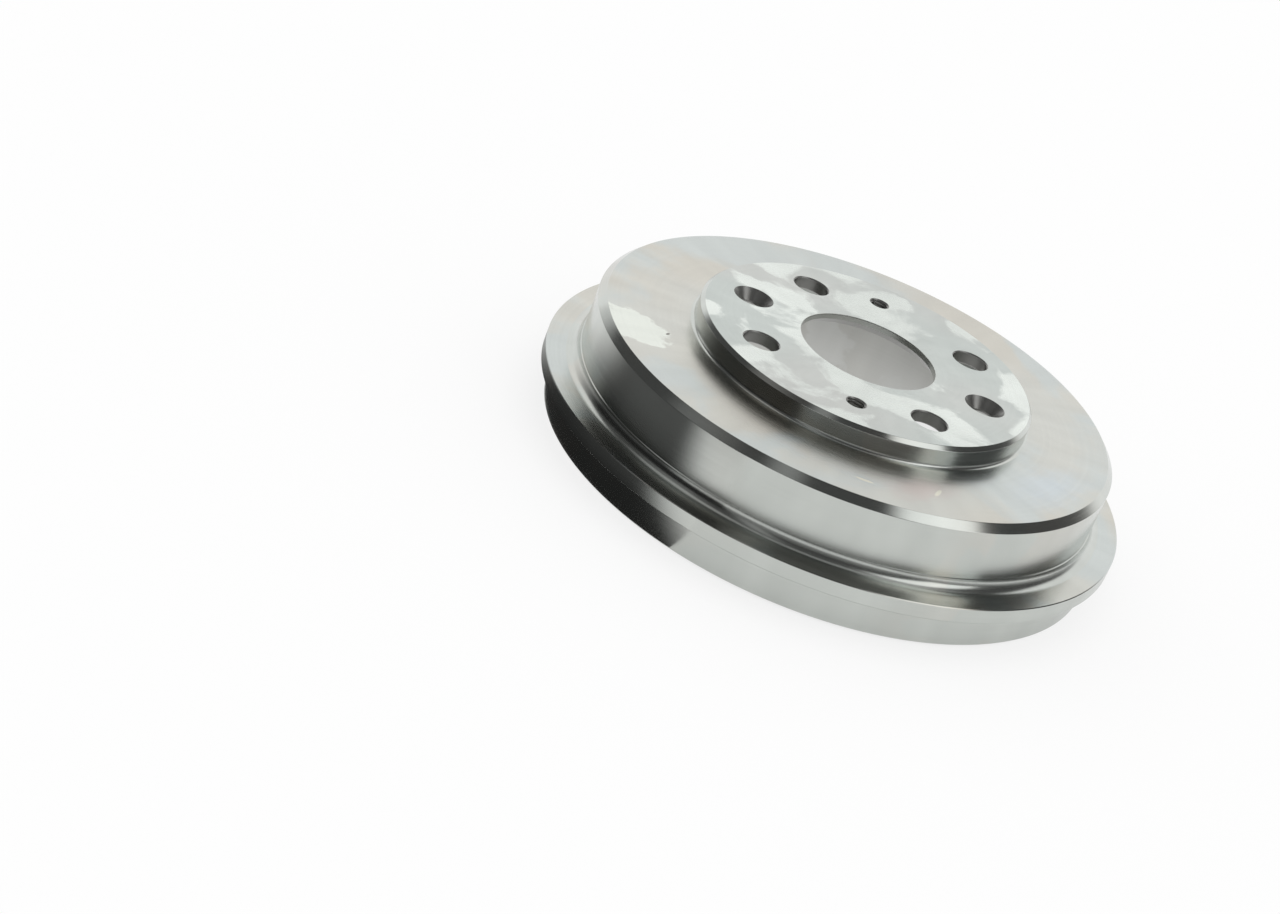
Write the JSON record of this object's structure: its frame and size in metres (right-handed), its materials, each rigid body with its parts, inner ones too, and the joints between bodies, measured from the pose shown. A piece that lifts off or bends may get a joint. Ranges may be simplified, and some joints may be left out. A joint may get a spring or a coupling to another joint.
{
  "type": "brake drum",
  "caption": "Turned cast-iron rear brake drum: shallow bowl with a stepped flange and raised hub plate, grooved on the open side for the backing plate.",
  "frame": {"origin": "on the axis, in the end face of the friction ring that the drum stands on", "axes": "+Z along the axis from the open side to the wheel face, +X through a stud hole, +Y through the next stud hole"},
  "size_m": [0.2406, 0.2406, 0.0585],
  "materials": {
    "cast_iron": "turned outside and on the swept surface, raw cast on the inner web"
  },
  "bodies": {
    "root": {"brake_drum": "cast_iron"}
  },
  "joints": []
}
